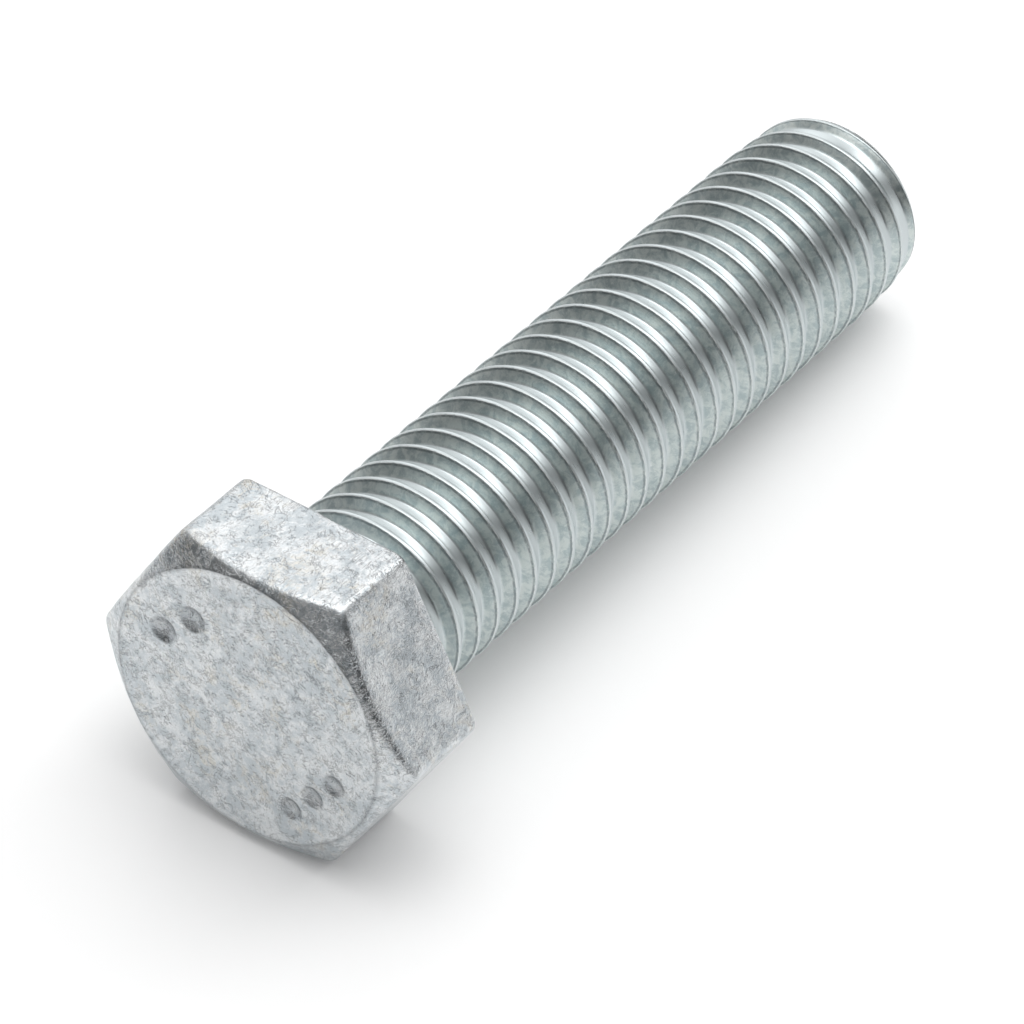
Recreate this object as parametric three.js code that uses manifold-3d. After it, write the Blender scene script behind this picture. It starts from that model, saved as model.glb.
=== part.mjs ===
// A fully threaded hexagon-head bolt, M12 x 50, in bright zinc-plated steel.
//
// Units are millimetres. The origin is on the bolt's axis in the plane of the bearing face
// under the head. +X runs along the shank from the head to the tip, and +Z is the normal of
// one of the six wrench flats, so the bolt lies on the opposite flat.
//
// A bolt is forged and thread-rolled from one piece of wire, so it is one closed solid.

import * as THREE from 'three';
import { mergeVertices } from 'three/addons/utils/BufferGeometryUtils.js';
import Module from 'manifold-3d';

const wasm = await Module();
wasm.setup();

// ---- driving dimensions -------------------------------------------------------------

const THREAD_DIAMETER = 12;      // major diameter of the thread
const THREAD_PITCH = 1.75;       // coarse pitch
const SHANK_LENGTH = 50;         // bearing face to tip
const ACROSS_FLATS = 18;         // wrench size
const HEAD_HEIGHT = 6.6;         // bearing face to head top

const CHAMFER_CIRCLE = 0.95 * ACROSS_FLATS;       // flat circle left on the head top
const CHAMFER_ANGLE = THREE.MathUtils.degToRad(30);

const CREST_FLAT = THREAD_PITCH / 8;
const FLANK_ANGLE = THREE.MathUtils.degToRad(30); // half of the 60 degree profile
const THREAD_DEPTH = 0.5413 * THREAD_PITCH;       // the basic profile, with a root of p / 4
const PITCH_DIAMETER = THREAD_DIAMETER - 0.6495 * THREAD_PITCH;

const NECK_LENGTH = 0.7 * THREAD_PITCH;           // plain neck left under the head
const RUNOUT_LENGTH = 1.1 * THREAD_PITCH;         // the thread's depth fades in over this
const FIRST_CREST = -4.25 * THREAD_PITCH;         // where the helix starts, inside the head

// the blank is pointed before the thread is rolled, so the last turns stay low and shallow
const POINT_LENGTH = 3 * THREAD_PITCH;
const POINT_CREST_DROP = 0.2;
const POINT_DEPTH_SHARE = 0.45;
const TIP_CHAMFER = 0.35;                         // 45 degrees, round the end face
const FILLET_RADIUS = 0.8;                        // between the shank and the head

const STEPS_ROUND = 40;                           // facets in one turn of the thread
const ROUND_SEGMENTS = 80;                        // facets in a turned surface
const FILLET_STEPS = 4;

// ---- helpers ------------------------------------------------------------------------

// A closed three.js geometry as a solid that can be joined and cut.
function solid(geometry) {
  const bare = geometry.clone();
  bare.deleteAttribute('normal');
  bare.deleteAttribute('uv');
  const merged = mergeVertices(bare, 1e-5);
  return new wasm.Manifold(new wasm.Mesh({
    numProp: 3,
    vertProperties: new Float32Array(merged.attributes.position.array),
    triVerts: new Uint32Array(merged.index.array),
  }));
}

// A solid's surface as a three.js geometry.
function surface(manifold) {
  const mesh = manifold.getMesh();
  const geometry = new THREE.BufferGeometry();
  geometry.setAttribute('position', new THREE.BufferAttribute(mesh.vertProperties, 3));
  geometry.setIndex(new THREE.BufferAttribute(mesh.triVerts, 1));
  geometry.computeVertexNormals();
  return geometry;
}

// A shape turned about the Z axis. The profile is a list of [radius, height], which starts
// and ends on the axis and rises along it.
function turned(profile) {
  const points = profile.map(([radius, height]) => new THREE.Vector2(radius, height));
  const geometry = new THREE.LatheGeometry(points, ROUND_SEGMENTS);
  geometry.rotateX(Math.PI / 2);
  return solid(geometry);
}

// ---- the head -----------------------------------------------------------------------

// A hexagonal prism from the head top up to the bearing face, with the crown's corners
// taken off by a 30 degree cone. The bolt is built upright here, head down.
function head() {
  const cornerRadius = ACROSS_FLATS / Math.sqrt(3);
  const outline = new THREE.Shape();
  for (let corner = 0; corner < 6; corner += 1) {
    const angle = (corner + 0.5) * Math.PI / 3;
    const x = cornerRadius * Math.cos(angle);
    const y = cornerRadius * Math.sin(angle);
    if (corner === 0) outline.moveTo(x, y);
    else outline.lineTo(x, y);
  }
  outline.closePath();
  const prism = new THREE.ExtrudeGeometry(outline, { depth: HEAD_HEIGHT, bevelEnabled: false });
  prism.translate(0, 0, -HEAD_HEIGHT);

  const clear = cornerRadius + 1;
  const rise = (clear - CHAMFER_CIRCLE / 2) * Math.tan(CHAMFER_ANGLE);
  const crown = turned([
    [0, -HEAD_HEIGHT],
    [CHAMFER_CIRCLE / 2, -HEAD_HEIGHT],
    [clear, -HEAD_HEIGHT + rise],
    [clear, 1],
    [0, 1],
  ]);
  return solid(prism).intersect(crown);
}

// ---- the thread ---------------------------------------------------------------------

// Distances along one pitch at which the profile turns a corner, with the depth below the
// crest at each: the two ends of the crest flat, then the two ends of the root.
function threadProfile() {
  const flank = THREAD_DEPTH * Math.tan(FLANK_ANGLE);
  return [
    { along: -CREST_FLAT / 2, depth: 0 },
    { along: CREST_FLAT / 2, depth: 0 },
    { along: CREST_FLAT / 2 + flank, depth: THREAD_DEPTH },
    { along: THREAD_PITCH - CREST_FLAT / 2 - flank, depth: THREAD_DEPTH },
  ];
}

// The radius of the thread at a height above the bearing face: the rolled profile, which
// fades to the plain neck's radius just under the head and gets low and shallow at the point.
function threadRadius(height, depth) {
  const point = THREE.MathUtils.smoothstep(height, SHANK_LENGTH - POINT_LENGTH, SHANK_LENGTH);
  const pointed = POINT_CREST_DROP + depth * POINT_DEPTH_SHARE;
  const rolled = THREAD_DIAMETER / 2 - THREE.MathUtils.lerp(depth, pointed, point);
  const share = THREE.MathUtils.smoothstep(height, NECK_LENGTH, NECK_LENGTH + RUNOUT_LENGTH);
  return THREE.MathUtils.lerp(PITCH_DIAMETER / 2, rolled, share);
}

// A right-hand thread as one strip of quads wound round the axis. Row r at column
// STEPS_ROUND is the same helix point as row r + corners at column 0.
function threadedRod(from, to) {
  const corners = threadProfile();
  const turns = Math.ceil((to - from) / THREAD_PITCH) + 1;
  const rows = turns * corners.length + 1;
  const positions = [];
  for (let row = 0; row < rows; row += 1) {
    const corner = corners[row % corners.length];
    const base = from + Math.floor(row / corners.length) * THREAD_PITCH + corner.along;
    for (let column = 0; column < STEPS_ROUND; column += 1) {
      const turn = column / STEPS_ROUND;
      const angle = 2 * Math.PI * turn;
      const height = base + turn * THREAD_PITCH;
      const radius = threadRadius(height, corner.depth);
      positions.push(radius * Math.cos(angle), radius * Math.sin(angle), height);
    }
  }
  const lowCentre = positions.length / 3;
  positions.push(0, 0, from - THREAD_PITCH);
  const highCentre = lowCentre + 1;
  positions.push(0, 0, from + (turns + 1) * THREAD_PITCH);

  // the strip's last column is the first column of the next turn
  const vertex = (row, column) => (
    column < STEPS_ROUND ? row * STEPS_ROUND + column : (row + corners.length) * STEPS_ROUND
  );
  const lastRow = rows - 1;
  const stripRows = lastRow - corners.length;
  const triangles = [];
  for (let row = 0; row < stripRows; row += 1) {
    for (let column = 0; column < STEPS_ROUND; column += 1) {
      const a = vertex(row, column);
      const b = vertex(row, column + 1);
      const c = vertex(row + 1, column + 1);
      const d = vertex(row + 1, column);
      triangles.push(a, b, c, a, c, d);
    }
  }
  // each end is closed by a fan from its centre to the strip's edge, which is one turn of
  // the helix and the step back along the profile
  for (let column = 0; column < STEPS_ROUND; column += 1) {
    triangles.push(lowCentre, vertex(0, column + 1), vertex(0, column));
    triangles.push(highCentre, vertex(stripRows, column), vertex(stripRows, column + 1));
  }
  for (let step = 0; step < corners.length; step += 1) {
    triangles.push(lowCentre, vertex(step, 0), vertex(step + 1, 0));
    triangles.push(highCentre, vertex(stripRows + step + 1, 0), vertex(stripRows + step, 0));
  }
  const geometry = new THREE.BufferGeometry();
  geometry.setAttribute('position', new THREE.Float32BufferAttribute(positions, 3));
  geometry.setIndex(triangles);
  return solid(geometry);
}

// The shank: the threaded rod inside the outer shape of the blank, which ends in a small
// chamfer. It starts inside the head, so that the two join.
function shank() {
  const rootInHead = HEAD_HEIGHT / 2;
  const clear = THREAD_DIAMETER / 2 + 0.05;
  const endRadius = THREAD_DIAMETER / 2 - POINT_CREST_DROP - TIP_CHAMFER;
  const blank = turned([
    [0, -rootInHead],
    [clear, -rootInHead],
    [clear, SHANK_LENGTH - (clear - endRadius)],
    [endRadius, SHANK_LENGTH],
    [0, SHANK_LENGTH],
  ]);
  return threadedRod(FIRST_CREST, SHANK_LENGTH + THREAD_PITCH).intersect(blank);
}

// The hollow quarter-round between the bearing face and the neck.
function fillet() {
  const neck = PITCH_DIAMETER / 2 - 0.02;
  const profile = [[0, -1], [neck + FILLET_RADIUS, -1]];
  for (let step = 0; step <= FILLET_STEPS; step += 1) {
    const angle = step / FILLET_STEPS * Math.PI / 2;
    profile.push([
      neck + FILLET_RADIUS * (1 - Math.sin(angle)),
      FILLET_RADIUS * (1 - Math.cos(angle)),
    ]);
  }
  profile.push([0, FILLET_RADIUS]);
  return turned(profile);
}

// ---- the bolt -----------------------------------------------------------------------

const zincPlatedSteel = new THREE.MeshStandardMaterial({
  color: 0xbfc6c9,
  metalness: 1.0,
  roughness: 0.34,
});

const bolt = new THREE.Mesh(surface(head().add(fillet()).add(shank())), zincPlatedSteel);
bolt.name = 'hex_bolt';
bolt.rotation.y = Math.PI / 2;

const model = new THREE.Group();
model.add(bolt);

export default model;
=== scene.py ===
"""The looks of a zinc-plated hex bolt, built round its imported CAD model.

One fine mesh stands for the CAD node hex_bolt. It is a surface of rings about the X axis: the
head from its top's centre to the bearing face, the neck, and then the thread, whose rows follow
the helix. Lengths are in metres, and the head top faces -X.
"""

import math

import bpy
import numpy as np
from mathutils import Matrix, Vector


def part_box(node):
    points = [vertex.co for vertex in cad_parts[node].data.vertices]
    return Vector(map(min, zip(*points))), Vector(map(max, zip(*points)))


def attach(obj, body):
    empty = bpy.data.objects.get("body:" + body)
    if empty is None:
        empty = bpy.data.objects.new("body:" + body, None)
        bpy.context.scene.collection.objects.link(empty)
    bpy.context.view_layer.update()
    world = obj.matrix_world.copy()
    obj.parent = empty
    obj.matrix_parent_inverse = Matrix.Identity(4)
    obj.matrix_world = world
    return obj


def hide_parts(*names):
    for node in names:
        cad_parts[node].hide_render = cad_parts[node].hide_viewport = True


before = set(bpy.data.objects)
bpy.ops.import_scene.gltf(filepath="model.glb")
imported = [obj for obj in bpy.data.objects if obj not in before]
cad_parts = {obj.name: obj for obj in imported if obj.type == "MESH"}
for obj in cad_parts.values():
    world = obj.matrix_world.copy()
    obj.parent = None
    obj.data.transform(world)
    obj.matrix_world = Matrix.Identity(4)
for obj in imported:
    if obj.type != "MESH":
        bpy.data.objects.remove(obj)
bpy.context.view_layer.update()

MM = 0.001

# ---- sizes --------------------------------------------------------------------------

low, high = (np.array(corner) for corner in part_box("hex_bolt"))
HEAD_HEIGHT = -low[0]
SHANK_LENGTH = high[0]
ACROSS_FLATS = high[2] - low[2]
CORNER_RADIUS = ACROSS_FLATS / math.sqrt(3)

THREAD_RADIUS = 6.0 * MM
PITCH = 1.75 * MM
THREAD_DEPTH = 0.41 * PITCH      # the photo's grooves are shallower than the CAD model's
CREST_FLAT = PITCH / 8
CREST_ROUNDING = 0.022 * PITCH
ROOT_ROUNDING = 0.045 * PITCH
FLANK_SLOPE = math.tan(math.radians(30))
NECK_RADIUS = THREAD_RADIUS - 0.32475 * PITCH
NECK_LENGTH = 0.7 * PITCH
RUNOUT_LENGTH = 1.1 * PITCH

# the blank is pointed before the thread is rolled, so the last turns stay low and shallow
POINT_LENGTH = 3 * PITCH
POINT_CREST_DROP = 0.2 * MM
POINT_DEPTH_SHARE = 0.45
TIP_CHAMFER = 0.35 * MM
TIP_SOFTNESS = 0.3 * MM          # over which the crests pass into the chamfer
TIP_RADIUS = THREAD_RADIUS - POINT_CREST_DROP - TIP_CHAMFER

RIM_RADIUS = 0.95 * ACROSS_FLATS / 2
TOP_EDGE = 0.9 * RIM_RADIUS      # the head top is built in plain rings out to here
CHAMFER_SLOPE = math.tan(math.radians(30))
FILLET_RADIUS = 0.8 * MM

# the radii of the head's soft edges
RIM_ROUNDING = 0.2 * MM
CHAMFER_ROUNDING = 0.62 * MM
CORNER_ROUNDING = 0.75 * MM
BEARING_ROUNDING = 0.22 * MM     # in the middle of a flat
BLUNT_CORNER = 0.32 * MM         # the same edge at the hexagon's corners

# ---- mesh density -------------------------------------------------------------------

THREAD_COLUMNS = 120
HEAD_COLUMNS = 3 * THREAD_COLUMNS
# rings on the head top: wide apart in the middle, close where the dimples are
TOP_RINGS = np.concatenate([
    np.linspace(0.3, 4.2, 12),
    np.linspace(4.2, TOP_EDGE / MM, 38)[1:-1],
]) * MM
HEAD_SPANS = [6, 6, 22, 5]
ROUNDING_SPANS = 4
FILLET_SPANS = 5
TIP_RINGS = (0.985, 0.95, 0.8, 0.4)


# ---- the surface --------------------------------------------------------------------

class Surface:
    """Points and faces, gathered ring by ring."""

    def __init__(self):
        self.points = []
        self.faces = []
        self.count = 0

    def add(self, points):
        """Adds points and returns their numbers."""
        points = np.asarray(points, float).reshape(-1, 3)
        numbers = np.arange(self.count, self.count + len(points))
        self.points.append(points)
        self.count += len(points)
        return numbers

    def grow(self, ring, points):
        """Quads from a closed ring to a new ring at these points, whose numbers it returns."""
        new = self.add(points)
        self.faces.extend(zip(ring, np.roll(ring, -1), np.roll(new, -1), new))
        return new

    def close(self, ring, centre):
        """Triangles from a closed ring to a centre after it."""
        self.faces.extend(zip(ring, np.roll(ring, -1), [centre] * len(ring)))

    def open(self, centre, ring):
        """Triangles from a centre to a closed ring after it."""
        self.faces.extend(zip([centre] * len(ring), np.roll(ring, -1), ring))

    def coarsen(self, fine, coarse):
        """Triangles from a fine ring to one with a third as many points."""
        for i, (a, b) in enumerate(zip(coarse, np.roll(coarse, -1))):
            first, second, third = fine[3 * i:3 * i + 3]
            fourth = fine[(3 * i + 3) % len(fine)]
            self.faces.extend([(first, second, a), (second, third, a), (third, b, a),
                               (third, fourth, b)])


def ring_angles(count):
    """Evenly spaced angles round the axis, from +Y towards +Z."""
    return np.arange(count) * 2 * math.pi / count


def around(x, radius, angles):
    """Points at these angles about the X axis, where x may be one number or one for each."""
    x = np.broadcast_to(x, angles.shape)
    return np.stack([x, radius * np.cos(angles), radius * np.sin(angles)], -1)


def smooth_step(t):
    """Eases from 0 to 1 as t goes from 0 to 1, and stays there on both sides."""
    t = np.clip(t, 0, 1)
    return t * t * (3 - 2 * t)


# ---- the head -----------------------------------------------------------------------

def hexagon_radius(angles):
    """Distance from the axis to the flats, with the six corners rounded over."""
    sector = math.pi / 3
    offset = (angles % sector) - sector / 2
    flat = ACROSS_FLATS / 2
    # in the sector's own axes a corner is where two flats meet at 120 degrees
    nearest = sector / 2 - np.abs(offset)
    reach = CORNER_RADIUS - CORNER_ROUNDING * (1 / math.cos(sector / 2) - 1)
    centre = CORNER_RADIUS - CORNER_ROUNDING / math.cos(sector / 2)
    arc_end = math.atan2(
        CORNER_ROUNDING * math.sin(sector / 2),
        centre + CORNER_ROUNDING * math.cos(sector / 2),
    )
    straight = flat / np.cos(offset)
    along = centre * np.cos(nearest)
    inside = np.maximum(CORNER_ROUNDING ** 2 - (centre * np.sin(nearest)) ** 2, 0)
    rounded = np.minimum(along + np.sqrt(inside), reach)
    return np.where(nearest < arc_end, rounded, straight)


def unit(vectors):
    """The vectors along the last axis, each made one long."""
    return vectors / np.linalg.norm(vectors, axis=-1, keepdims=True)


def rounded_profile(corners, radii, spans):
    """Samples a chain of (radius, x) corners, each an array over the columns, and rounds each
    inner corner by its own radius. spans[i] is the number of steps from corner i to the
    next."""
    corners = [np.stack(np.broadcast_arrays(r, x), -1) for r, x in corners]
    entries, exits = [corners[0]], [corners[0]]
    for before, corner, after, radius in zip(corners, corners[1:], corners[2:], radii):
        back, ahead = unit(before - corner), unit(after - corner)
        turn = math.pi - np.arccos(np.clip((back * ahead).sum(-1, keepdims=True), -1, 1))
        reach = radius * np.tan(turn / 2)
        entries.append(corner + back * reach)
        exits.append(corner + ahead * reach)
    entries.append(corners[-1])
    rows = [corners[0]]
    for i, span in enumerate(spans):
        start, end = exits[i], entries[i + 1]
        rows.extend(start + (end - start) * step / span for step in range(1, span + 1))
        if i + 1 < len(spans):
            rows.extend(rounding(end, corners[i + 1], exits[i + 1]))
    return rows


def rounding(start, corner, end):
    """A soft curve that turns a corner, after its start."""
    for step in range(1, ROUNDING_SPANS + 1):
        t = step / ROUNDING_SPANS
        yield start * (1 - t) ** 2 + corner * 2 * t * (1 - t) + end * t * t


def head_rows():
    """Rows of (radius, x) over the head's columns, from the top face's outer part over the
    chamfer and the flats to the bearing face's inner edge."""
    angles = ring_angles(HEAD_COLUMNS)
    outline = hexagon_radius(angles)
    drop = (outline - RIM_RADIUS) * CHAMFER_SLOPE
    top = np.full_like(angles, -HEAD_HEIGHT)
    zero = np.zeros_like(angles)
    corners = [
        (zero + TOP_EDGE, top),
        (zero + RIM_RADIUS, top),
        (outline, top + drop),
        (outline, zero),
        (zero + NECK_RADIUS + FILLET_RADIUS, zero),
    ]
    cornerness = (outline - ACROSS_FLATS / 2) / (CORNER_RADIUS - ACROSS_FLATS / 2)
    bearing = BEARING_ROUNDING + (BLUNT_CORNER - BEARING_ROUNDING) * smooth_step(cornerness)
    return rounded_profile(corners, [RIM_ROUNDING, CHAMFER_ROUNDING, bearing[:, None]], HEAD_SPANS)


# ---- the thread ---------------------------------------------------------------------

def thread_offsets():
    """Where a pitch is sampled, counted from the crest's middle, and the depth there: a flat
    crest, two flanks and a flat root, with soft corners between them."""
    crest = CREST_FLAT / 2
    root = crest + THREAD_DEPTH * FLANK_SLOPE
    half = [
        (crest - CREST_ROUNDING, 0.0),
        (crest, 0.3 * CREST_ROUNDING),
        (crest + CREST_ROUNDING, CREST_ROUNDING / FLANK_SLOPE),
        ((crest + root) / 2, THREAD_DEPTH / 2),
        (root - ROOT_ROUNDING, THREAD_DEPTH - ROOT_ROUNDING / FLANK_SLOPE),
        (root, THREAD_DEPTH - 0.3 * ROOT_ROUNDING),
        (root + ROOT_ROUNDING, THREAD_DEPTH),
    ]
    left = [(-along, depth) for along, depth in reversed(half)]
    return left + half


def thread_radius(x, depth):
    """The thread's radius at x: the rolled profile, which fades to the plain neck by the head
    and gets low and shallow at the point, inside the chamfer of the end face."""
    point = smooth_step((x - SHANK_LENGTH + POINT_LENGTH) / POINT_LENGTH)
    pointed = POINT_CREST_DROP + depth * POINT_DEPTH_SHARE
    rolled = THREAD_RADIUS - depth - (pointed - depth) * point
    share = smooth_step((x - NECK_LENGTH) / RUNOUT_LENGTH)
    rolled = NECK_RADIUS + (rolled - NECK_RADIUS) * share
    chamfer = TIP_RADIUS + (SHANK_LENGTH - x)
    blend = np.clip(0.5 + 0.5 * (chamfer - rolled) / TIP_SOFTNESS, 0, 1)
    return chamfer + (rolled - chamfer) * blend - TIP_SOFTNESS * blend * (1 - blend)


def thread_grid(angles):
    """The x and the radius of each point of the wound rows, and how many rows a turn has. The
    end of a row joins the start of the row that comes one turn later."""
    offsets = thread_offsets()
    per_turn = len(offsets)
    turns = math.ceil((SHANK_LENGTH - FILLET_RADIUS) / PITCH) + 3
    first = math.floor(FILLET_RADIUS / PITCH) - 2
    row = np.arange((turns + 1) * per_turn)
    along, depth = np.array(offsets)[row % per_turn].T
    base = (first + row // per_turn) * PITCH + along
    x = base[:, None] + angles[None, :] / (2 * math.pi) * PITCH
    return x, thread_radius(x, depth[:, None]), per_turn


def add_thread(surface, neck_ring):
    """Winds rows of quads along the helix from the neck to the tip, and returns the tip's
    ring. Points before the neck or past the tip become the points of those rings."""
    angles = ring_angles(THREAD_COLUMNS)
    x, radius, per_turn = thread_grid(angles)
    tip_ring = surface.add(around(SHANK_LENGTH, TIP_RADIUS, angles))
    numbers = np.where(x <= FILLET_RADIUS, neck_ring, -1)
    numbers = np.where(x >= SHANK_LENGTH, tip_ring, numbers)
    inner = numbers < 0
    turned = np.broadcast_to(angles, x.shape)[inner]
    numbers[inner] = surface.add(around(x[inner], radius[inner], turned))

    for r in range(len(x) - per_turn - 1):
        lower, upper = numbers[r], numbers[r + 1]
        next_lower = np.append(lower[1:], numbers[r + per_turn, 0])
        next_upper = np.append(upper[1:], numbers[r + 1 + per_turn, 0])
        for quad in zip(lower, next_lower, next_upper, upper):
            corners = tuple(dict.fromkeys(quad))
            if len(corners) > 2:
                surface.faces.append(corners)
    return tip_ring


# ---- marks, dents and waviness ------------------------------------------------------

DIMPLE_DEPTH = 0.22 * MM
DIMPLE_EDGE = 0.1 * MM           # the width of the raised lip and of the painted shade's edge
LIP_HEIGHT = 0.02 * MM
# how dark the painted shade is in the dimples and along the top's rim
DIMPLE_SHADE = 0.6
RIM_SHADE = 0.75
RIM_LINE = 0.1 * MM
TOP_ZONE = 0.15 * MM             # the rim's painted shade reaches this far down the chamfer
TOP_TOLERANCE = 0.01 * MM        # points this near to the top's plane are on it

# waviness: height, cell size and seed
ALL_OVER_WAVE = (0.004 * MM, 0.8 * MM, 5)
FORGING_WAVES = [
    (0.014 * MM, 3.1 * MM, 1),
    (0.008 * MM, 1.1 * MM, 2),
    (0.006 * MM, 0.5 * MM, 3),
]
# the knocks: how many, their range of size, how much longer than wide, and depth in sizes
DENT_COUNT = 420
DENT_SIZES = (0.2 * MM, 0.8 * MM)
DENT_STRETCH = (1.0, 3.2)
DENT_DEPTHS = (0.015, 0.055)
DENT_REACH = 2.2                 # in sizes, beyond which a knock is nearly nothing
HEAD_ZONE = 0.4 * MM             # knocks and waves reach this far along the fillet
HEAD_SINK = 0.02 * MM            # keeps the wavy head inside the CAD model's box

# rows of punched dimples: the row's middle on the head top (y, z), the direction in which it
# runs, how many dimples there are, their spacing and their radius
DIMPLE_ROWS = [
    ((4.6 * MM, 3.3 * MM), math.radians(138), 2, 2.6 * MM, 0.85 * MM),
    ((-4.45 * MM, -3.85 * MM), math.radians(131), 3, 2.1 * MM, 0.72 * MM),
]


def dimples(points):
    """For points on the head top: how deep the punched dimples are there, and how far inside
    one each point is, from 0 to 1."""
    depth, inside = np.zeros(len(points)), np.zeros(len(points))
    for (y, z), running, count, spacing, radius in DIMPLE_ROWS:
        away = points[:, 1:] - (y, z)
        step = np.array([math.cos(running), math.sin(running)]) * spacing
        for i in range(count):
            reach = np.linalg.norm(away - step * (i - (count - 1) / 2), axis=1)
            outside = reach - radius
            lip = LIP_HEIGHT * np.exp(-((outside - DIMPLE_EDGE) / DIMPLE_EDGE) ** 2)
            depth += DIMPLE_DEPTH * np.clip(1 - (reach / radius) ** 2, 0, None) - lip
            inside = np.maximum(inside, smooth_step(0.5 - 0.5 * outside / DIMPLE_EDGE))
    return depth, inside


def value_noise(points, cell, seed):
    """Smooth noise from -1 to 1 that varies over about the cell's size."""
    grid = points / cell
    base = np.floor(grid).astype(np.int64)
    part = grid - base
    part = part * part * (3 - 2 * part)
    total = np.zeros(len(points))
    for corner in np.ndindex(2, 2, 2):
        at = base + corner
        # large odd factors turn the grid corner's place into a random-looking number
        mixed = (at[:, 0] * 73856093) ^ (at[:, 1] * 19349663) ^ (at[:, 2] * 83492791) ^ seed
        mixed = (mixed ^ (mixed >> 13)) * 1274126177 & 0x7FFFFFFF
        value = ((mixed ^ (mixed >> 16)) & 0xFFFF) / 32767.5 - 1
        weight = np.prod(np.where(corner, part, 1 - part), axis=1)
        total += value * weight
    return total


def dents(points, normals):
    """Small knocks from barrel plating, on the head: oval hollows of several sizes."""
    rng = np.random.default_rng(11)
    height = np.zeros(len(points))
    for _ in range(DENT_COUNT):
        middle = rng.integers(len(points))
        long_axis = np.cross(normals[middle], rng.normal(size=3))
        long_axis /= np.linalg.norm(long_axis)
        size = rng.uniform(*DENT_SIZES)
        stretch = rng.uniform(*DENT_STRETCH)
        depth = rng.uniform(*DENT_DEPTHS) * size
        away = points - points[middle]
        near = np.flatnonzero((np.abs(away) < DENT_REACH * size * stretch).all(1))
        lengthways = away[near] @ long_axis / stretch
        squared = (away[near] ** 2).sum(1) - (away[near] @ long_axis) ** 2 + lengthways ** 2
        height[near] -= depth * np.exp(-squared / size ** 2)
    return height


def waves(points, height, cell, seed):
    """Waviness of a given height."""
    return height * value_noise(points, cell, seed)


def surface_height(points, normals):
    """How far each point moves along its normal."""
    height = waves(points, *ALL_OVER_WAVE)
    head = np.flatnonzero(points[:, 0] < HEAD_ZONE)
    on_head = points[head]
    for wave in FORGING_WAVES:
        height[head] += waves(on_head, *wave)
    height[head] += dents(on_head, normals[head]) - HEAD_SINK
    on_top = head[on_head[:, 0] < -HEAD_HEIGHT + TOP_TOLERANCE]
    height[on_top] -= dimples(points[on_top])[0]
    return height


def painted_shade_mask(points):
    """Where shade is painted, from 0 to 1: painted shade in the punched dimples and a painted dark
    line along the rim of the top.
    """
    on_top = np.flatnonzero(points[:, 0] < -HEAD_HEIGHT + TOP_ZONE)
    painted_shade = np.zeros(len(points))
    radius = np.hypot(points[on_top, 1], points[on_top, 2])
    # a painted dark line along the top's rim
    rim = RIM_SHADE * np.exp(-((radius - RIM_RADIUS) / RIM_LINE) ** 2)
    painted_shade[on_top] = np.maximum(DIMPLE_SHADE * dimples(points[on_top])[1], rim)
    return painted_shade


def weather(mesh):
    """Moves the mesh's points by the dimples, dents and waviness, inside the CAD model's box,
    and stores where the material paints shade: in the dimples and along the rim."""
    count = len(mesh.vertices)
    flat = np.empty(count * 3)
    mesh.vertices.foreach_get("co", flat)
    points = flat.reshape(-1, 3)
    flat_normals = np.empty(count * 3, np.float32)
    mesh.vertex_normals.foreach_get("vector", flat_normals)
    normals = flat_normals.reshape(-1, 3).astype(float)
    # stores the painted shade's mask for the material
    painted_shade = mesh.attributes.new("painted_shade", "FLOAT", "POINT")
    painted_shade.data.foreach_set("value", painted_shade_mask(points))
    moved = points + normals * surface_height(points, normals)[:, None]
    mesh.vertices.foreach_set("co", np.clip(moved, low, high).ravel())
    mesh.update()


# ---- the whole bolt -----------------------------------------------------------------

def add_head(surface):
    """The head from its top's centre to the bearing face's inner edge. Returns its last
    ring."""
    angles = ring_angles(HEAD_COLUMNS)
    centre = surface.add([[-HEAD_HEIGHT, 0, 0]])[0]
    ring = surface.add(around(-HEAD_HEIGHT, TOP_RINGS[0], angles))
    surface.open(centre, ring)
    for radius in TOP_RINGS[1:]:
        ring = surface.grow(ring, around(-HEAD_HEIGHT, radius, angles))
    for profile in head_rows():
        ring = surface.grow(ring, around(profile[:, 1], profile[:, 0], angles))
    return ring


def add_fillet(surface, head_ring):
    """The hollow quarter-round from the bearing face to the neck, with fewer columns than the
    head has. Returns its last ring."""
    angles = ring_angles(THREAD_COLUMNS)
    ring = None
    for step in range(1, FILLET_SPANS + 1):
        bend = step / FILLET_SPANS * math.pi / 2
        radius = NECK_RADIUS + FILLET_RADIUS * (1 - math.sin(bend))
        points = around(FILLET_RADIUS * (1 - math.cos(bend)), radius, angles)
        if ring is None:
            ring = surface.add(points)
            surface.coarsen(head_ring, ring)
        else:
            ring = surface.grow(ring, points)
    return ring


def add_end_face(surface, ring):
    """The flat end of the tip, from its edge to its centre."""
    angles = ring_angles(THREAD_COLUMNS)
    for share in TIP_RINGS:
        ring = surface.grow(ring, around(SHANK_LENGTH, share * TIP_RADIUS, angles))
    surface.close(ring, surface.add([[SHANK_LENGTH, 0, 0]])[0])


def bolt_mesh():
    """The bolt's surface as one closed mesh."""
    surface = Surface()
    neck_ring = add_fillet(surface, add_head(surface))
    add_end_face(surface, add_thread(surface, neck_ring))
    mesh = bpy.data.meshes.new("hex_bolt_surface")
    points = np.concatenate(surface.points)
    mesh.from_pydata(points.tolist(), [], [tuple(int(n) for n in f) for f in surface.faces])
    mesh.validate()
    mesh.polygons.foreach_set("use_smooth", [True] * len(mesh.polygons))
    weather(mesh)
    return mesh


bolt = bpy.data.objects.new("hex_bolt_surface", bolt_mesh())
bpy.context.collection.objects.link(bolt)
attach(bolt, "root")
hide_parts("hex_bolt")
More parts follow.
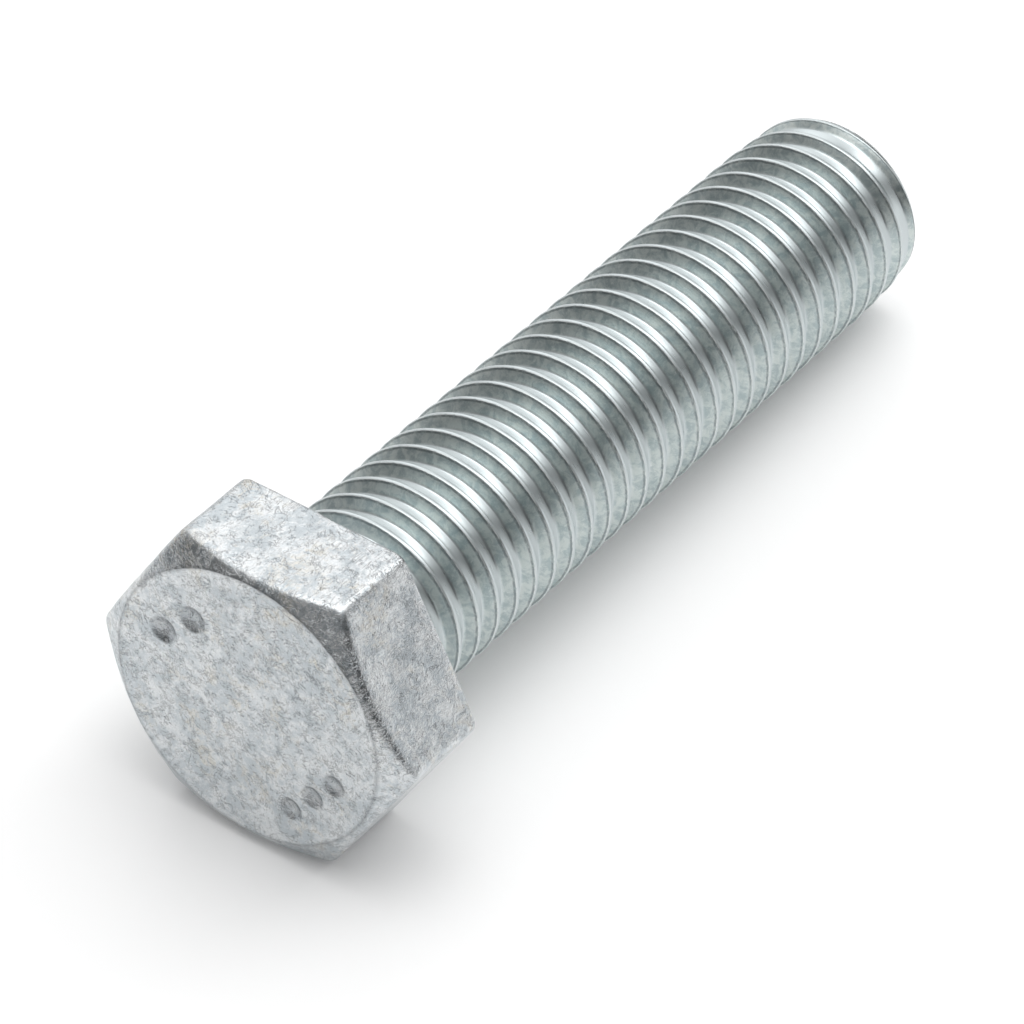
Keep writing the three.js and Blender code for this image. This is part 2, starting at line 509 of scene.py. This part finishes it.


# ---- material -----------------------------------------------------------------------

# the forged head: bluish and pale patches, warm stains, dark knocks that are partly painted shade,
# and painted shade in the dimples and along the rim
HEAD_BLUE = (0.49, 0.53, 0.555, 1)
HEAD_PALE = (0.70, 0.72, 0.73, 1)
HEAD_WARM = (0.62, 0.61, 0.57, 1)
# the marks' colour: partly the plating's own dark marks, partly painted shade of the wrinkles and
# pits
MARK_DARK_AND_SHADE = (0.24, 0.25, 0.26, 1)
# the colour of the painted shade in the dimples and along the rim
PAINTED_SHADE_DARK = (0.20, 0.21, 0.22, 1)
HEAD_ROUGHNESS = (0.13, 0.36)
# the rolled thread: smooth crests and roots, mottled flanks with pale specks
ROLLED_GREY = (0.56, 0.61, 0.62, 1)
FLANK_BLUE = (0.43, 0.505, 0.515, 1)
FLANK_PALE = (0.64, 0.695, 0.68, 1)
SPECK_PALE = (0.80, 0.83, 0.82, 1)
ROLLED_ROUGHNESS = (0.22, 0.38)
FLANK_ROUGHNESS = (0.28, 0.50)
# from a crest's middle, at 0, to a root's middle, at 1: where the flank's looks come and go
FLANK_COMES = (0.10, 0.18)
FLANK_GOES = (0.52, 0.64)
# lines along the crest, a painted highlight and a painted shade line beside it, in shares of a
# pitch where the crest's middle is at 0.5
SEAM_PLACE, SEAM_WIDTH = 0.44, 0.022
SHADE_PLACE, SHADE_WIDTH = 0.408, 0.03
SEAM_WANDER = 0.03
# the colour of the painted highlight along the crest's seam, then of the painted shade line beside
# it
SEAM_HIGHLIGHT_PALE = (0.86, 0.89, 0.89, 1)
SHADE_DARK = (0.20, 0.23, 0.24, 1)
SEAM_ROUGHNESS = 0.5
# heights of the fine relief
FINE_RELIEF = 0.016 * MM
PATCH_RELIEF = 0.045 * MM
HEAD_GRAIN = 0.007 * MM
MARK_RELIEF = 0.014 * MM
STREAK_RELIEF = 0.003 * MM
FLANK_GRAIN = 0.005 * MM
# x in mm: where the thread's looks take over from the head's, and where they end at the tip
NECK_BLEND = (0.15, 0.5)
TIP_BLEND = (SHANK_LENGTH / MM - 0.12, SHANK_LENGTH / MM - 0.03)


class Nodes:
    """Short ways to add and join shader nodes."""

    def __init__(self, owner):
        """For the nodes of a material or a world."""
        owner.use_nodes = True
        self.tree = owner.node_tree

    def add(self, kind, **inputs):
        """A node with some of its inputs fed, where an underscore stands for a space."""
        node = self.tree.nodes.new(kind)
        for name, value in inputs.items():
            self.feed(node.inputs[name.replace("_", " ")], value)
        return node

    def feed(self, socket, value):
        """Links a socket to the input, or sets the input to a plain value."""
        if isinstance(value, bpy.types.NodeSocket):
            self.tree.links.new(value, socket)
        else:
            socket.default_value = value

    def maths(self, operation, *values):
        """An operation on numbers."""
        node = self.tree.nodes.new("ShaderNodeMath")
        node.operation = operation
        for socket, value in zip(node.inputs, values):
            self.feed(socket, value)
        return node.outputs[0]

    def ramp(self, value, from_low, from_high, to_low=0.0, to_high=1.0):
        """Eases from one output to the other while the value goes from low to high."""
        node = self.tree.nodes.new("ShaderNodeMapRange")
        node.interpolation_type = "SMOOTHSTEP"
        for socket, number in zip(node.inputs, (value, from_low, from_high, to_low, to_high)):
            self.feed(socket, number)
        return node.outputs[0]

    def mix(self, share, first, second):
        """A mixture of two colours."""
        node = self.tree.nodes.new("ShaderNodeMix")
        node.data_type = "RGBA"
        self.feed(node.inputs[0], share)
        self.feed(node.inputs[6], first)
        self.feed(node.inputs[7], second)
        return node.outputs[2]

    def blend(self, share, first, second):
        """A mixture of two numbers."""
        node = self.tree.nodes.new("ShaderNodeMix")
        self.feed(node.inputs[0], share)
        self.feed(node.inputs[2], first)
        self.feed(node.inputs[3], second)
        return node.outputs[0]

    def noise(self, vector, scale, detail, roughness, distortion=0.0):
        """Noise from 0 to 1, mostly near 0.5. A larger scale makes smaller features."""
        node = self.add("ShaderNodeTexNoise", Vector=vector, Scale=scale, Detail=detail,
                        Roughness=roughness, Distortion=distortion)
        return node.outputs[0]

    def shifted(self, vector, offset):
        """Coordinates moved by an offset."""
        node = self.tree.nodes.new("ShaderNodeVectorMath")
        self.feed(node.inputs[0], vector)
        node.inputs[1].default_value = offset
        return node.outputs[0]

    def stretched(self, vector, rotation, scale):
        """Coordinates turned and then scaled."""
        node = self.tree.nodes.new("ShaderNodeMapping")
        self.feed(node.inputs["Vector"], vector)
        node.inputs["Rotation"].default_value = rotation
        node.inputs["Scale"].default_value = scale
        return node.outputs[0]


def scratches(nodes, place, rotation, seed):
    """Fine straight scratches along one direction: thin ridges of a stretched noise."""
    lines = nodes.stretched(place, rotation, (0.22, 2.6, 2.6))
    value = nodes.noise(nodes.shifted(lines, (seed, -seed, 2 * seed)), 1.0, 1.0, 0.5, 0.3)
    ridge = nodes.maths("ABSOLUTE", nodes.maths("SUBTRACT", value, 0.5))
    return nodes.ramp(ridge, 0.0, 0.012, 1.0, 0.0)


def wavy_lines(nodes, place, scale, seed, width):
    """Short thin curved lines: where a twisted noise passes its middle, broken up by another."""
    moved = nodes.shifted(place, (seed, 2 * seed, -seed))
    value = nodes.noise(moved, scale, 2.0, 0.5, 1.6)
    near = nodes.maths("ABSOLUTE", nodes.maths("SUBTRACT", value, 0.5))
    breaks = nodes.ramp(nodes.noise(moved, 0.9 * scale, 2.0, 0.5), 0.50, 0.58)
    return nodes.maths("MULTIPLY", nodes.ramp(near, 0.0, width, 1.0, 0.0), breaks)


def thread_places(nodes, place):
    """Coordinates wound with the thread, and how far along a pitch a point is, where a crest
    is at 0.5."""
    along, across, upward = nodes.add("ShaderNodeSeparateXYZ", Vector=place).outputs
    radius = nodes.maths("SQRT", nodes.maths(
        "ADD", nodes.maths("MULTIPLY", across, across), nodes.maths("MULTIPLY", upward, upward)))
    turn = nodes.maths("ARCTAN2", across, upward)
    turns = nodes.maths("DIVIDE", turn, math.tau)
    pitches = nodes.maths("ADD", nodes.maths("DIVIDE", along, PITCH / MM), turns)
    wound = nodes.add("ShaderNodeCombineXYZ", X=pitches, Y=radius,
                      Z=nodes.maths("MULTIPLY", turn, 0.35)).outputs[0]
    phase = nodes.maths("FRACT", nodes.maths("ADD", pitches, 0.25))
    return wound, phase


def peak(nodes, value, middle, half_width):
    """1 where a value is at the middle, and 0 from the half width outwards."""
    away = nodes.maths("ABSOLUTE", nodes.maths("SUBTRACT", value, middle))
    return nodes.ramp(away, 0.3 * half_width, half_width, 1.0, 0.0)


def crest_lines(nodes, place, phase):
    """Two ragged, slightly wandering lines along each crest: a painted highlight along its seam,
    and a painted shade line beside it."""
    ragged = nodes.ramp(nodes.noise(place, 3.0, 3.0, 0.6), 0.35, 0.55)
    wander = nodes.maths("SUBTRACT", nodes.noise(place, 2.2, 2.0, 0.6), 0.5)
    phase = nodes.maths("ADD", phase, nodes.maths("MULTIPLY", wander, SEAM_WANDER))
    seam_highlight = nodes.maths("MULTIPLY", peak(nodes, phase, SEAM_PLACE, SEAM_WIDTH), ragged)
    shade = nodes.maths("MULTIPLY", peak(nodes, phase, SHADE_PLACE, SHADE_WIDTH),
                        nodes.blend(ragged, 0.35, 0.75))
    return seam_highlight, shade


def thread_looks(nodes, place, grain):
    """Colour, roughness and height of the rolled thread."""
    wound, phase = thread_places(nodes, place)
    off_crest = nodes.maths("MULTIPLY", nodes.maths(
        "ABSOLUTE", nodes.maths("SUBTRACT", phase, 0.5)), 2.0)
    flank = nodes.maths("MULTIPLY", nodes.ramp(off_crest, *FLANK_COMES),
                        nodes.ramp(off_crest, *FLANK_GOES, 1.0, 0.0))
    streaks = nodes.noise(wound, 14.0, 2.0, 0.6)
    mottle = nodes.noise(place, 1.6, 5.0, 0.7, 0.6)
    specks = nodes.ramp(nodes.noise(place, 6.0, 3.0, 0.7), 0.56, 0.68)
    seam_highlight, shade = crest_lines(nodes, place, phase)

    colour = nodes.mix(nodes.ramp(mottle, 0.36, 0.62), FLANK_BLUE, FLANK_PALE)
    colour = nodes.mix(nodes.maths("MULTIPLY", specks, 0.35), colour, SPECK_PALE)
    colour = nodes.mix(flank, ROLLED_GREY, colour)
    # painted shade beside each crest, then a painted highlight along its seam
    colour = nodes.mix(shade, colour, SHADE_DARK)
    colour = nodes.mix(nodes.maths("MULTIPLY", seam_highlight, 0.6), colour, SEAM_HIGHLIGHT_PALE)
    rough = nodes.blend(flank, nodes.blend(streaks, *ROLLED_ROUGHNESS),
                        nodes.blend(mottle, *FLANK_ROUGHNESS))
    rough = nodes.blend(seam_highlight, rough, SEAM_ROUGHNESS)
    rubbed = nodes.maths("MULTIPLY", nodes.maths("MULTIPLY", grain, flank), FLANK_GRAIN)
    height = nodes.maths("ADD", nodes.maths("MULTIPLY", streaks, STREAK_RELIEF), rubbed)
    return colour, rough, height


def head_marks(nodes, place, patches):
    """Where the plating is marked, from 0 to 1: pits, fine scratches and squiggly knocks, which
    are sunk and darkened in colour, partly as painted shade.
    """
    cells = nodes.add("ShaderNodeTexVoronoi", Vector=place, Scale=1.25)
    pits = nodes.ramp(cells.outputs["Distance"], 0.03, 0.10, 1.0, 0.0)
    lines = nodes.maths("MAXIMUM", scratches(nodes, place, (0.3, 0.5, 0.9), 3.0),
                        scratches(nodes, place, (1.2, -0.4, 2.1), 8.0))
    lines = nodes.maths("MULTIPLY", lines, nodes.ramp(patches, 0.47, 0.6))
    squiggles = nodes.maths("MAXIMUM", wavy_lines(nodes, place, 1.3, 4.0, 0.036),
                            wavy_lines(nodes, place, 2.1, 9.0, 0.046))
    return nodes.maths("MAXIMUM", nodes.maths("MAXIMUM", pits, lines), squiggles)


def head_looks(nodes, place, grain):
    """Colour, roughness and height of the forged head: blotchy plating, warm stains, marks that
    are partly painted shade, and painted shade in the dimples and along the rim."""
    clouds = nodes.noise(place, 0.45, 5.0, 0.7, 0.6)
    patches = nodes.noise(place, 1.4, 5.0, 0.7, 1.2)
    fine = nodes.noise(place, 5.0, 4.0, 0.7, 0.8)
    stain = nodes.ramp(nodes.noise(place, 0.33, 5.0, 0.7, 0.5), 0.50, 0.66)
    marks = head_marks(nodes, place, patches)
    # where shade is painted: in the dimples and along the top's rim
    painted_shade = nodes.tree.nodes.new("ShaderNodeAttribute")
    painted_shade.attribute_name = "painted_shade"
    painted_shade_share = nodes.maths("MULTIPLY", painted_shade.outputs["Fac"], nodes.ramp(fine, 0.38, 0.52, 0.35, 0.75))

    tone = nodes.maths("ADD", nodes.maths("MULTIPLY", clouds, 0.45), nodes.maths(
        "ADD", nodes.maths("MULTIPLY", patches, 0.4), nodes.maths("MULTIPLY", fine, 0.15)))
    colour = nodes.mix(nodes.ramp(tone, 0.43, 0.57), HEAD_BLUE, HEAD_PALE)
    colour = nodes.mix(nodes.maths("MULTIPLY", stain, nodes.ramp(patches, 0.42, 0.58)),
                       colour, HEAD_WARM)
    # darkens the marks: partly their own colour, partly painted shade of the wrinkles and pits
    colour = nodes.mix(nodes.maths("MULTIPLY", marks, 0.45), colour, MARK_DARK_AND_SHADE)
    # painted shade in the dimples and along the rim, patchy
    colour = nodes.mix(painted_shade_share, colour, PAINTED_SHADE_DARK)
    rough = nodes.blend(patches, *HEAD_ROUGHNESS)
    height = nodes.maths("ADD", nodes.maths("MULTIPLY", fine, FINE_RELIEF),
                         nodes.maths("MULTIPLY", patches, PATCH_RELIEF))
    height = nodes.maths("ADD", height, nodes.maths("MULTIPLY", grain, HEAD_GRAIN))
    height = nodes.maths("SUBTRACT", height, nodes.maths("MULTIPLY", marks, MARK_RELIEF))
    return colour, rough, height


def zinc_plating():
    """The bolt's one material, which passes from the head's looks to the thread's."""
    material = bpy.data.materials.new("zinc_plated_steel")
    nodes = Nodes(material)
    coordinates = nodes.add("ShaderNodeTexCoord").outputs["Object"]
    place = nodes.stretched(coordinates, (0, 0, 0), (1 / MM, 1 / MM, 1 / MM))
    along = nodes.add("ShaderNodeSeparateXYZ", Vector=place).outputs[0]
    # 1 on the thread, 0 on the head and on the tip's end face
    thread = nodes.maths("MULTIPLY", nodes.ramp(along, *NECK_BLEND),
                         nodes.ramp(along, *TIP_BLEND, 1.0, 0.0))
    grain = nodes.noise(place, 8.0, 3.0, 0.65)
    head_colour, head_rough, head_height = head_looks(nodes, place, grain)
    thread_colour, thread_rough, thread_height = thread_looks(nodes, place, grain)

    shader = nodes.tree.nodes["Principled BSDF"]
    nodes.feed(shader.inputs["Base Color"], nodes.mix(thread, head_colour, thread_colour))
    nodes.feed(shader.inputs["Roughness"], nodes.blend(thread, head_rough, thread_rough))
    shader.inputs["Metallic"].default_value = 1.0
    # the heights are in metres
    bump = nodes.add("ShaderNodeBump", Height=nodes.blend(thread, head_height, thread_height))
    bump.inputs["Strength"].default_value = 1.0
    bump.inputs["Distance"].default_value = 1.0
    nodes.feed(shader.inputs["Normal"], bump.outputs[0])
    return material


bolt.data.materials.append(zinc_plating())

# ---- the floor, light and camera ----------------------------------------------------

FLOOR_RADIUS = 80 * MM
FLOOR_WHITE = 0.96
FLOOR_ROUGHNESS = 0.9
FLOOR_GLOW = 0.07                # lifts the shadows, as light from a wide room does


def lean_of_floor():
    """The bolt lies on one flat's back edge and on its thread near the tip, so the floor leans
    against the bolt's own axes by the angle at which it first meets the thread."""
    points = np.array([vertex.co for vertex in bolt.data.vertices])
    thread = points[points[:, 0] > SHANK_LENGTH / 2]
    return math.atan2(*min(((z + ACROSS_FLATS / 2, x) for x, _, z in thread),
                           key=lambda rise_run: rise_run[0] / rise_run[1]))


LEAN = lean_of_floor()
floor_up = Vector((-math.sin(LEAN), 0, math.cos(LEAN)))
floor_frame = Matrix.Rotation(-LEAN, 3, "Y")


def white_floor():
    """A round white board under the bolt, with nothing but dimness round it."""
    middle = Vector((SHANK_LENGTH / 2, 0, 0))
    rim = [middle + Vector((math.cos(a), math.sin(a), 0)) * FLOOR_RADIUS for a in ring_angles(96)]
    lift = Vector((0, 0, -ACROSS_FLATS / 2))
    mesh = bpy.data.meshes.new("floor")
    mesh.from_pydata([lift + floor_frame @ point for point in rim], [], [tuple(range(len(rim)))])
    floor = bpy.data.objects.new("floor", mesh)
    bpy.context.collection.objects.link(floor)
    material = bpy.data.materials.new("floor_white")
    material.use_nodes = True
    shader = material.node_tree.nodes["Principled BSDF"]
    shader.inputs["Base Color"].default_value = (FLOOR_WHITE, FLOOR_WHITE, FLOOR_WHITE, 1)
    shader.inputs["Roughness"].default_value = FLOOR_ROUGHNESS
    shader.inputs["Specular IOR Level"].default_value = 0.0
    shader.inputs["Emission Color"].default_value = (1, 1, 1, 1)
    shader.inputs["Emission Strength"].default_value = FLOOR_GLOW
    mesh.materials.append(material)


white_floor()


# soft lights round the bolt, in degrees: azimuth from +X towards +Y, elevation and spread,
# and then their strength
WORLD_LOBES = [
    (-25, 41, 8, 2.82),
    (-10, 46, 8, 0.67),
    (0, 90, 18, 2.95),
    (-60, 62, 18, 1.10),
    (40, 35, 18, 1.36),
    (45, 10, 15, 0.80),
    (90, 10, 15, 1.17),
    (180, 10, 15, 0.38),
    (135, -7, 14, 0.16),
    (-45, -7, 14, 1.50),
    (180, 50, 24, 0.16),
    (130, 45, 22, 0.12),
    (-135, 45, 24, 0.18),
]


def towards(azimuth, elevation):
    """The direction of a light."""
    azimuth, elevation = math.radians(azimuth), math.radians(elevation)
    return Vector((
        math.cos(azimuth) * math.cos(elevation),
        math.sin(azimuth) * math.cos(elevation),
        math.sin(elevation),
    ))


def studio_world():
    """A wide dim room with soft lights in it. Only reflections and light come from it; a
    camera that looks past the floor sees plain pale paper."""
    world = bpy.data.worlds.new("studio")
    nodes = Nodes(world)
    background = nodes.tree.nodes["Background"]
    direction = nodes.add("ShaderNodeTexCoord").outputs["Generated"]
    total = 0.0
    for azimuth, elevation, spread, strength in WORLD_LOBES:
        along_lobe = nodes.tree.nodes.new("ShaderNodeVectorMath")
        along_lobe.operation = "DOT_PRODUCT"
        nodes.feed(along_lobe.inputs[0], direction)
        along_lobe.inputs[1].default_value = towards(azimuth, elevation)
        fall = nodes.maths("SUBTRACT", along_lobe.outputs["Value"], 1.0)
        sharpness = 1 / math.radians(spread) ** 2
        lobe = nodes.maths("EXPONENT", nodes.maths("MULTIPLY", fall, sharpness))
        total = nodes.maths("ADD", total, nodes.maths("MULTIPLY", lobe, strength))
    seen = nodes.add("ShaderNodeLightPath").outputs["Is Camera Ray"]
    nodes.feed(background.inputs["Strength"], nodes.blend(seen, total, 1.0))
    background.inputs["Color"].default_value = (1, 1, 1, 1)
    bpy.context.scene.world = world


studio_world()

# fitted to the photo: degrees, metres and the lens in mm
CAMERA_AZIMUTH = -56.54
CAMERA_ELEVATION = 40.08
CAMERA_ROLL = 0.56
CAMERA_DISTANCE = 326.94 * MM
CAMERA_TARGET = Vector((17.61, 0.0, -2.45)) * MM
CAMERA_LENS = 207.6
CAMERA_SENSOR = 36.0


def camera():
    """The photo's view. The azimuth is from -Y towards +X, and up is the floor's normal."""
    data = bpy.data.cameras.new("camera")
    data.lens = CAMERA_LENS
    data.sensor_width = CAMERA_SENSOR
    data.clip_start, data.clip_end = 0.01, 10.0
    eye = bpy.data.objects.new("camera", data)
    azimuth, elevation = math.radians(CAMERA_AZIMUTH), math.radians(CAMERA_ELEVATION)
    back = Vector((
        math.sin(azimuth) * math.cos(elevation),
        -math.cos(azimuth) * math.cos(elevation),
        math.sin(elevation),
    ))
    right = floor_up.cross(back).normalized()
    up = back.cross(right)
    turn = Matrix((right, up, back)).transposed()
    turn = turn @ Matrix.Rotation(math.radians(CAMERA_ROLL), 3, "Z")
    eye.rotation_mode = "QUATERNION"
    eye.rotation_quaternion = turn.to_quaternion()
    eye.location = CAMERA_TARGET + back * CAMERA_DISTANCE
    bpy.context.collection.objects.link(eye)
    bpy.context.scene.camera = eye


camera()
bpy.context.scene.view_settings.view_transform = "Standard"
